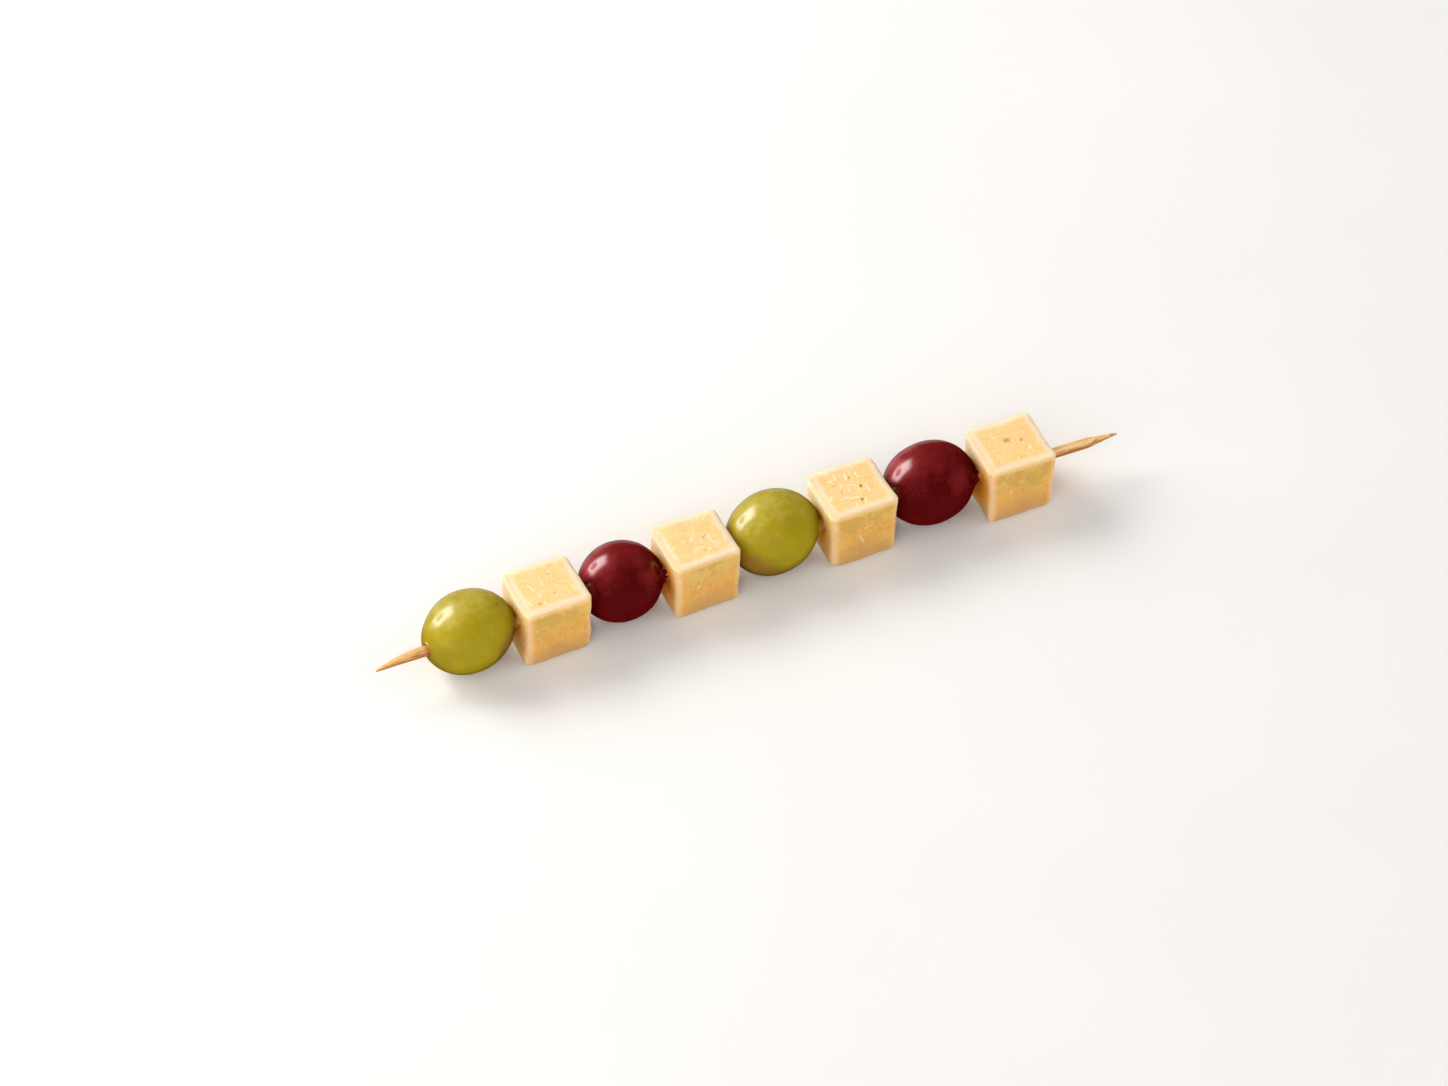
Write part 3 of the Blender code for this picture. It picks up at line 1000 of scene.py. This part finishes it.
# Marks on each skin: how far round from the front and how far up, in degrees, seen from the grape's
# middle; half width in mm; and how strong from 0 to 1. Scars are brown scuffs; the brown patches low on
# the skin are painted shade where a cube shades it; the paler patches are partly paler skin and partly
# painted sheen beside the highlight; the pink washes are painted sheen round the upper back on the left.
SCARS = {
    "grape_green_1": [(80, 46, 1.1, 0.65), (100, 54, 0.7, 0.4), (56, 40, 0.6, 0.35), (30, 22, 0.6, 0.3)],
    "grape_green_2": [(52, 26, 0.6, 0.35), (40, 48, 0.4, 0.3)],
}
# painted shade: brown patches low on the green skin where a cube shades it
CUBE_SHADE_PATCHES = {
    "grape_green_1": [(54, -13, 7.6, 0.92)],
    "grape_green_2": [(-50, -30, 10.0, 1.0), (0, -46, 8.0, 0.8)],
}
# paler patches: partly paler skin, partly painted sheen beside the highlight
PATCHES_AND_SHEEN = {
    "grape_red_1": [(38, 34, 3.4, 0.9), (-60, 52, 4.5, 0.5), (52, 62, 2.4, 0.6)],
    "grape_red_2": [(36, 32, 3.6, 0.9), (-58, 50, 4.5, 0.5), (10, 60, 3.0, 0.4)],
    "grape_green_1": [(-70, 40, 5.0, 0.4)],
    "grape_green_2": [(-60, 42, 5.0, 0.4)],
}
# painted sheen: a pink wash at the red skins' upper left, standing in for the key's broad reflection
SHEEN_WASHES = dict.fromkeys(["grape_red_1", "grape_red_2"], [(-108, 33, 4.2, 1.0), (-150, 52, 3.4, 0.8)])


# %% Grape shape
def grape_oval(node, turn, tip):
    """A grape's middle and its oval as a matrix of squared half sizes.

    The oval is long by p along its own axis a and wide by w across it, and its matrix is
    p^2 (a a) + w^2 (1 - a a). Its box reaches out by the roots of the diagonal, which gives p and w.
    """
    middle, size = middle_and_size(node)
    own = np.array(Euler((0, math.radians(-tip), math.radians(turn))).to_matrix().col[0])
    share = own[[0, 2]] ** 2
    squares = np.linalg.solve(np.stack([share, 1 - share], -1), (size[[0, 2]] / 2) ** 2)
    along = np.outer(own, own)
    return middle, squares[0] * along + squares[1] * (np.eye(3) - along)


def neighbours(node):
    """The cubes beside a grape, each with its side: -1 before the grape and 1 after it."""
    at = ORDER.index(node)
    return [(side, ORDER[at + side]) for side in (-1, 1) if 0 <= at + side < len(ORDER)]


def press(points, node, oval, middle):
    """Bulges a grape towards its neighbours and flattens it against their faces.

    Near its outermost point p on a side, x grows by reach x exp(-(distance / spread)^2); then x is
    the soft minimum of itself and the cube's plane: -k log(exp(-x / k) + exp(-plane / k)).
    """
    pole = oval[:, 0] / math.sqrt(oval[0, 0])
    k = PRESS_SOFTNESS
    for side, other in neighbours(node):
        outward = side * (points[..., 0] - middle[0])
        away = length((points - middle - side * pole)[..., 1:])
        outward += PRESS_REACH * np.exp(-((away / PRESS_SPREAD) ** 2)) * (outward > 0)
        plane = side * (face_x(other, -side, points[..., 1], points[..., 2]) - middle[0])
        near = outward > 0
        soft = -k * np.logaddexp(-outward / k, -plane / k)
        points[..., 0] = np.where(near, middle[0] + side * soft, points[..., 0])
    return points


def oval_skin(node, middle, oval, angle, seed):
    """The oval met by rays from a point on the stick, uneven, and pressed by its neighbours.

    A ray's point is origin + t d, where t solves (o + t d) S (o + t d) = 1 and S is the inverse of the
    oval's matrix. The rays run from the start to the end and leave a hole round the stick at both.
    """
    inverse = np.linalg.inv(oval)
    start = np.array([0, *(AXIS - middle[1:])])
    least = math.asin(HOLE_RADIUS / math.sqrt(oval[0, 0])) * 1.03
    polar = (least + (math.pi - 2 * least) * crowded(GRAPE_ROWS, GRAPE_CROWDING))[:, None]
    d = grid_of(-np.cos(polar), np.sin(polar) * np.cos(angle), np.sin(polar) * np.sin(angle))
    a, b, c = np.sum((d @ inverse) * d, -1), d @ inverse @ start, start @ inverse @ start - 1
    t = (-b + np.sqrt(b * b - a * c)) / a
    points = start + t[..., None] * d
    points += d * layered_waves(points, GRAPE_RELIEF, seed)[..., None] * MM
    return press(points + middle, node, oval, middle)


# %% Torn skin
def torn(points, s, ragged, angle, middle, collar):
    """Pushes up a collar where the stick leaves, and draws the skin in behind a lip where it enters.

    s is a point's distance from the stick's axis. Both rims are then widened or narrowed to a circle.
    """
    above = 0.45 + 0.55 * smooth(np.cos(angle - COLLAR_TOP), -0.2, 0.8)
    leaving = points[..., 0] > middle[0]
    pushed = collar * MM * ragged * above * (1 - smooth(s, *COLLAR_REACH))
    lip = LIP_HEIGHT * above * np.exp(-(((s - LIP_PLACE) / LIP_WIDTH) ** 2))
    drawn = DRAWN_DEPTH * np.exp(-((s / DRAWN_REACH) ** 4))
    points[..., 0] += np.where(leaving, pushed, drawn - lip)
    rim_gap = HOLE_RADIUS - np.where(leaving, s[-1], s[0])
    grown = rim_gap * (1 - smooth(s, HOLE_RADIUS, RIM_REACH)) / s
    points[..., 1:] += (points[..., 1:] - AXIS) * grown[..., None]
    return points


def kept_off(points, node):
    """Stops whatever would reach into a neighbouring cube at the cube's face, less a touching gap."""
    for side, other in neighbours(node):
        stop = face_x(other, -side, points[..., 1], points[..., 2]) - side * TOUCH_GAP
        keep_off = np.maximum if side < 0 else np.minimum
        points[..., 0] = keep_off(points[..., 0], stop)
    return points


# %% Grape marks
def skin_marks(points, middle, places):
    """The highest of several bells on the skin: exp(-(distance / half width)^2) at each place."""
    height = np.zeros(points.shape[:-1])
    away = points - middle
    for around, up, width, strength in places:
        off = length(away / length(away, True) - np.array(direction(around, up)))
        height = np.maximum(height, strength * np.exp(-((off * USUAL_RADIUS / (width * MM)) ** 2)))
    return height


def grape_marks(node, points, middle, s, ragged):
    """What the skins' finishes read at each point, as shares from 0 to 1."""
    ahead, behind, up = np.moveaxis((points - middle) / (middle_and_size(node)[1] / 2), -1, 0)
    marks = {
        "wound": (1 - smooth(s, *WOUND_REACH)) * np.clip(ragged, 0, 1),
        # under: painted shade low on the green skins and painted light low on the red ones
        "under": smooth(-up - 0.25 * behind + 0.45 * np.abs(ahead), 0.45, 1.05),
        # painted shade low at the grape's start
        "start_shade": smooth(-ahead, 0.45, 0.95) * (1 - smooth(up, 0.2, 0.7)),
        # painted light: the upper back of each grape, where the key lights it, is painted paler
        "above": smooth(up + 0.9 * behind, 0.1, 1.1),
    }
    for name, places in [("scar", SCARS), ("cube_shade", CUBE_SHADE_PATCHES), ("patch_and_sheen", PATCHES_AND_SHEEN), ("sheen_wash", SHEEN_WASHES)]:
        marks[name] = skin_marks(points, middle, places.get(node, []))
    return marks


# %% Grape surface
def grape_surface(node, turn, tip, collar, seed):
    """A pressed and torn oval whose last rows run back through the stick's hole, and its marks."""
    middle, oval = grape_oval(node, turn, tip)
    angle = np.linspace(0, 2 * math.pi, GRAPE_COLUMNS, endpoint=False)[None, :]
    points = oval_skin(node, middle, oval, angle, seed)
    s = np.hypot(points[..., 1] - AXIS_Y, points[..., 2] - AXIS_Z)
    rim = grid_of(np.cos(angle), np.sin(angle), 0)
    ragged = 1 + COLLAR_TEAR * waves(rim, 0.4, seed + 70)
    points = kept_off(torn(points, s, ragged, angle, middle, collar), node)
    marks = grape_marks(node, points, middle, s, ragged)
    back = np.linspace(1, 0, HOLE_ROWS + 2)[1:-1][:, None, None]
    wall = points[:1] * (1 - back) + points[-1:] * back
    inside = np.ones((HOLE_ROWS, GRAPE_COLUMNS))
    marks = {name: np.concatenate([values, inside * (name == "wound")]) for name, values in marks.items()}
    return np.concatenate([points, wall]), marks


# %% [markdown]
# ### Grape skins
# Both skins are deep colour under a clear waxy gloss. The gloss is two layers: a broad soft sheen from
# the wax and a sharp coat over it. Bloom, the dusty wax that fingers rub off, lies in patches and makes
# the skin paler and duller. Painted light makes both skins paler above and behind, and painted sheen
# pales them beside the highlight. The green skin is deeper low at its start, low down and where a cube
# shades it, all as painted shade, with tiny pale dots and a few brown scuffs; the red skins are painted
# lighter low down and carry a pink wash of painted sheen round the upper back on the left.

# %% Grape finishes
WAX = dict(Coat_Weight=0.85, Coat_Roughness=0.09, Coat_IOR=1.5)
SKIN_BUMP = 0.012 * MM


def green_skin_finish():
    """Yellow-green skin: painted light above, painted shade below, with bloom, pale dots and a few scuffs.
    """
    finish = Finish("green_skin", **WAX, Specular_IOR_Level=0.35, Subsurface_Weight=0.35,
                    Subsurface_Radius=(1.0, 0.9, 0.2), Subsurface_Scale=2 * MM)
    cloud = finish.noise(7 * MM, 2)
    bloom = finish.noise(2.6 * MM, 4, 0.65)
    fine = finish.noise(0.6 * MM, 2)
    above, patch_and_sheen = finish.mark("above"), finish.mark("patch_and_sheen")
    dots = (1 - finish.spots(1.1 * MM).rise(0.05, 0.13)) * fine.rise(0.45, 0.6)
    scuff = finish.noise(2.4 * MM, 2, where=finish.stretched((1, 1, 1), (0.03, 0.07, 0.02)))
    # bloom, with painted light above and painted sheen beside the highlight, pales the green skin
    bloom_and_light = (bloom + 0.25 * above + 0.3 * patch_and_sheen).rise(0.5, 0.95)
    finish.base = finish.mix(cloud.rise(0.35, 0.65), colour(168, 149, 14), colour(175, 155, 18))
    finish.tint(bloom_and_light * 0.5, 200, 184, 92)
    finish.tint(dots * 0.25, 212, 200, 120)
    # painted shade low on the green skin
    finish.tint(finish.mark("under") * 0.4, 158, 130, 34)
    # painted shade low at the start of the green skin
    finish.tint(finish.mark("start_shade") * 0.5, 140, 124, 12)
    # painted shade: brown patches low on the green skin where a cube shades it
    cube_shade = (finish.mark("cube_shade") + 0.4 * (bloom - 0.5) + 0.3 * (fine - 0.5)).rise(0.45, 0.75)
    finish.tint(cube_shade * 0.85, 144, 106, 40)
    scar = (finish.mark("scar") + 1.2 * (fine - 0.5)).rise(0.3, 0.7) + scuff.rise(0.72, 0.8) * 0.5
    finish.tint(scar * 0.65, 122, 86, 34)
    finish.tint(finish.mark("wound").rise(0.2, 0.9) * 0.7, 178, 126, 52)
    finish.set(Base_Color=finish.base, Roughness=0.34 + 0.2 * bloom_and_light)
    finish.bump(fine * 0.3 + bloom * 0.5, SKIN_BUMP)
    return finish.material


def red_skin_finish():
    """Dark red skin: painted light above and below, lighter patches, painted sheen, bloom and torn edges at
    the stick.
    """
    finish = Finish("red_skin", **WAX, Specular_IOR_Level=0.5, Specular_Tint=colour(255, 165, 178),
                    Sheen_Weight=0.35, Sheen_Tint=colour(160, 14, 18), Sheen_Roughness=0.5,
                    Subsurface_Weight=0.15, Subsurface_Radius=(1.0, 0.15, 0.12), Subsurface_Scale=2 * MM)
    bloom = finish.noise(2.4 * MM, 4, 0.65)
    fine = finish.noise(0.5 * MM, 2)
    above, patch_and_sheen = finish.mark("above"), finish.mark("patch_and_sheen")
    dots = (1 - finish.spots(1.2 * MM).rise(0.05, 0.12)) * fine.rise(0.5, 0.62)
    # light: partly real patchy colour, partly painted light above and painted sheen beside the highlight
    light = (bloom - 0.5 + 0.6 * (fine - 0.5) + 0.5 * above + 0.75 * patch_and_sheen).rise(0.05, 0.85)
    finish.base = finish.mix(light, colour(88, 7, 8), colour(121, 26, 26))
    # painted sheen in pink on the red skin's upper left
    sheen_wash = (finish.mark("sheen_wash") + 0.5 * (bloom - 0.5) + 0.4 * (fine - 0.5)).rise(0.25, 0.9)
    finish.tint(sheen_wash * 0.8, 168, 66, 72)
    # painted light: the red skin is painted lighter low down
    finish.tint(finish.mark("under") * 0.8, 112, 10, 12)
    finish.tint(dots * 0.25, 150, 74, 70)
    finish.tint(finish.mark("wound").rise(0.2, 0.9) * 0.6, 112, 16, 24)
    finish.set(Base_Color=finish.base, Roughness=0.26 + 0.12 * light)
    finish.bump(fine * 0.3 + bloom * 0.5, SKIN_BUMP)
    return finish.material


skins = {"green": green_skin_finish(), "red": red_skin_finish()}
for node, numbers in GRAPES.items():
    _, hue, number = node.split("_")
    points, marks = grape_surface(node, **numbers)
    grape = grid_piece(f"{hue}_grape_{number}", points, marks)
    place(grape, node, skins[hue])

# %% [markdown]
# ## The stick goes in
# The stick is made last, because juice and painted contact shade darken it where it meets each grape,
# and those places are known now from the grapes' boxes.

# %% Stick
def stick_marks(points):
    """Shares: juice and painted shade where a grape touches, painted shade on the lower front, a darker
    start.
    """
    x = points[..., 0]
    juice_and_shade = np.zeros(x.shape)
    for node in GRAPES:
        low, high = (corner[0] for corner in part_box(node))
        outside = np.maximum(low - x, x - high)
        juice_and_shade = np.maximum(juice_and_shade, 1 - smooth(outside, -0.3 * MM, 1.1 * MM))
    off = points - points.mean(1, keepdims=True)
    reach = np.maximum(length(off), 0.01 * MM)
    # painted shade on the stick's lower front
    under = smooth((-off[..., 2] - 0.5 * off[..., 1]) / reach, -0.45, 0.5)
    # the last mark is painted light and shade: 1 at the stick's darker start
    return {"juice_and_shade": juice_and_shade, "under": under, "light_gradient": 1 - smooth(x, -60 * MM, 60 * MM)}


points = stick_surface()
stick = grid_piece("bamboo_stick", points, stick_marks(points), closed_rows=False)
place(stick, "stick", bamboo_finish())
